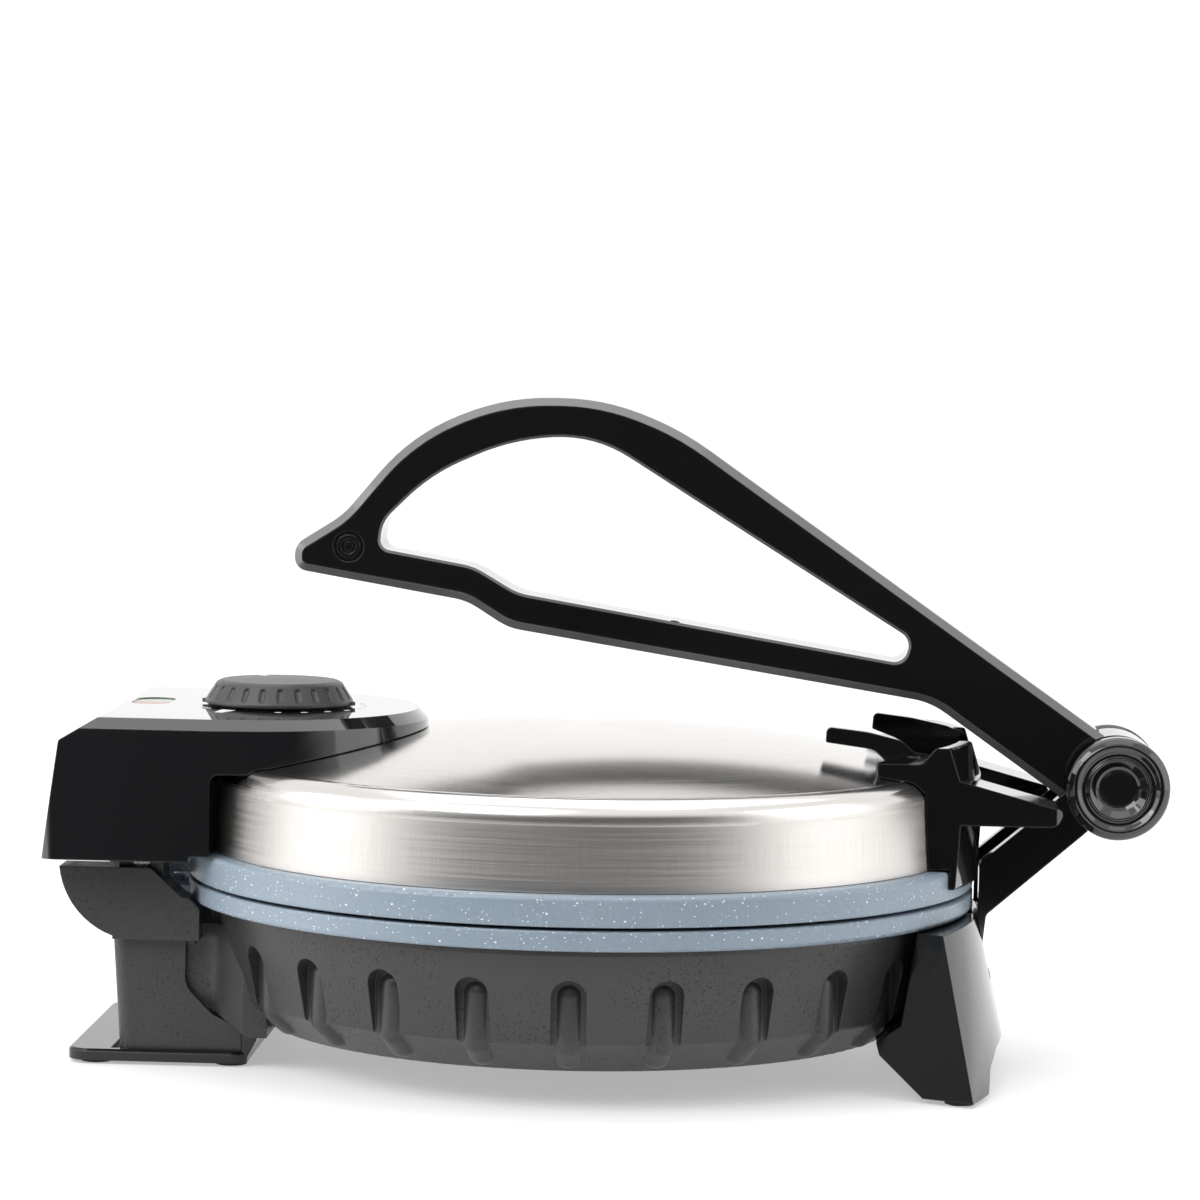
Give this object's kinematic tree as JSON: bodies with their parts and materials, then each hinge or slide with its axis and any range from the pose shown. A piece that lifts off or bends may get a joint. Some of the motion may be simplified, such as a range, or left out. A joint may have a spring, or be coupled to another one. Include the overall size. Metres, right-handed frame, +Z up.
{
  "type": "electric roti maker",
  "caption": "Countertop electric flatbread press: round hinged heating plates under a steel cover, press lever on a pivoting yoke, rear control box with a rotary thermostat knob.",
  "frame": {"origin": "centre of the footprint rectangle, on the table plane", "axes": "+X to the front (press lever side), -X to the hinge and control box, +Z up"},
  "size_m": [0.3712, 0.266, 0.2229],
  "materials": {
    "base_screws": "zinc plated steel",
    "bottom_cover": "pressed sheet, black stoved paint",
    "bracket_screws": "zinc plated steel",
    "control_box": "glossy black moulding",
    "control_box_floor": "black moulded panel",
    "control_knob": "satin black moulding",
    "cord_inlet_gland": "black rubber grommet",
    "far_roller_cap": "glossy black moulding",
    "front_foot_pads": "matte black rubber",
    "front_leg": "glossy black moulding",
    "handle_far_half": "glossy black moulding",
    "handle_hub_bush": "plain turned bush",
    "handle_near_half": "glossy black moulding",
    "handle_screws": "zinc plated steel",
    "handle_tip_plug": "satin black moulding",
    "heat_reflector": "bright pressed sheet",
    "hinge_pin": "ground steel pin",
    "hub_axle": "ground steel pin",
    "indicator_lamps": "small clear neon lamps",
    "knob_pointer": "white painted inlay",
    "lamp_holder": "white moulded holder",
    "leg_screws": "zinc plated steel",
    "lid_bracket": "glossy black moulding",
    "lid_shell": "spun stainless steel, fine circular brushing",
    "lower_heating_element": "oxidised tubular sheath",
    "lower_housing": "satin moulded phenolic, dark warm grey",
    "lower_plate": "cast aluminium with a blue-grey speckled non-stick coat",
    "lower_thermal_cutoff": "small metal can on a clip",
    "lower_wiring": "glass-sleeved wire",
    "near_roller_cap": "glossy black moulding",
    "plate_screws": "zinc plated steel",
    "power_lens": "red translucent lens",
    "ready_lens": "green translucent lens",
    "rear_foot_cover": "glossy black moulding",
    "rear_foot_pads": "matte black rubber",
    "terminal_block": "ivory moulded terminal strip",
    "thermostat": "brown moulded body with a steel spindle",
    "upper_heating_element": "oxidised tubular sheath",
    "upper_plate": "cast aluminium with a blue-grey speckled non-stick coat",
    "upper_thermal_cutoff": "small metal can on a clip",
    "upper_wiring": "glass-sleeved wire",
    "yoke": "glossy black moulding",
    "yoke_pivot_pin": "ground steel pin"
  },
  "bodies": {
    "base": {"lower_housing": "lower_housing", "bottom_cover": "bottom_cover", "rear_foot_cover": "rear_foot_cover", "front_leg": "front_leg", "front_foot_pads": "front_foot_pads", "rear_foot_pads": "rear_foot_pads", "lower_plate": "lower_plate", "lower_heating_element": "lower_heating_element", "heat_reflector": "heat_reflector", "lower_thermal_cutoff": "lower_thermal_cutoff", "terminal_block": "terminal_block", "lower_wiring": "lower_wiring", "cord_inlet_gland": "cord_inlet_gland", "hinge_pin": "hinge_pin", "yoke_pivot_pin": "yoke_pivot_pin", "base_screws": "base_screws", "leg_screws": "leg_screws", "plate_screws": "plate_screws"},
    "lid": {"lid_shell": "lid_shell", "upper_plate": "upper_plate", "upper_heating_element": "upper_heating_element", "upper_thermal_cutoff": "upper_thermal_cutoff", "control_box": "control_box", "control_box_floor": "control_box_floor", "thermostat": "thermostat", "power_lens": "power_lens", "ready_lens": "ready_lens", "indicator_lamps": "indicator_lamps", "lamp_holder": "lamp_holder", "upper_wiring": "upper_wiring", "lid_bracket": "lid_bracket", "bracket_screws": "bracket_screws"},
    "knob": {"control_knob": "control_knob", "knob_pointer": "knob_pointer"},
    "yoke": {"yoke": "yoke", "hub_axle": "hub_axle", "near_roller_cap": "near_roller_cap", "far_roller_cap": "far_roller_cap"},
    "handle": {"handle_near_half": "handle_near_half", "handle_far_half": "handle_far_half", "handle_screws": "handle_screws", "handle_tip_plug": "handle_tip_plug", "handle_hub_bush": "handle_hub_bush"}
  },
  "joints": [
    {"name": "lid_hinge", "type": "hinge", "parent": "base", "child": "lid", "pos_m": [-0.15468, 0, 0.0685], "axis": [0, -1, 0], "range_deg": [0, 70]},
    {"name": "yoke_pivot", "type": "hinge", "parent": "base", "child": "yoke", "pos_m": [0.11912, 0, 0.043], "axis": [0, 1, 0], "range_deg": [0, 50]},
    {"name": "handle_pivot", "type": "hinge", "parent": "yoke", "child": "handle", "pos_m": [0.16833, 0, 0.0967], "axis": [0, 1, 0], "range_deg": [0, 103]},
    {"name": "knob_turn", "type": "hinge", "parent": "lid", "child": "knob", "pos_m": [-0.11528, 0, 0.1168], "axis": [0, 0, -1], "range_deg": [0, 270]}
  ],
  "couplings": [
    {"joint": "yoke_pivot", "follows": "lid_hinge", "ratio": 0.71429},
    {"joint": "handle_pivot", "follows": "lid_hinge", "ratio": 1.4714}
  ]
}
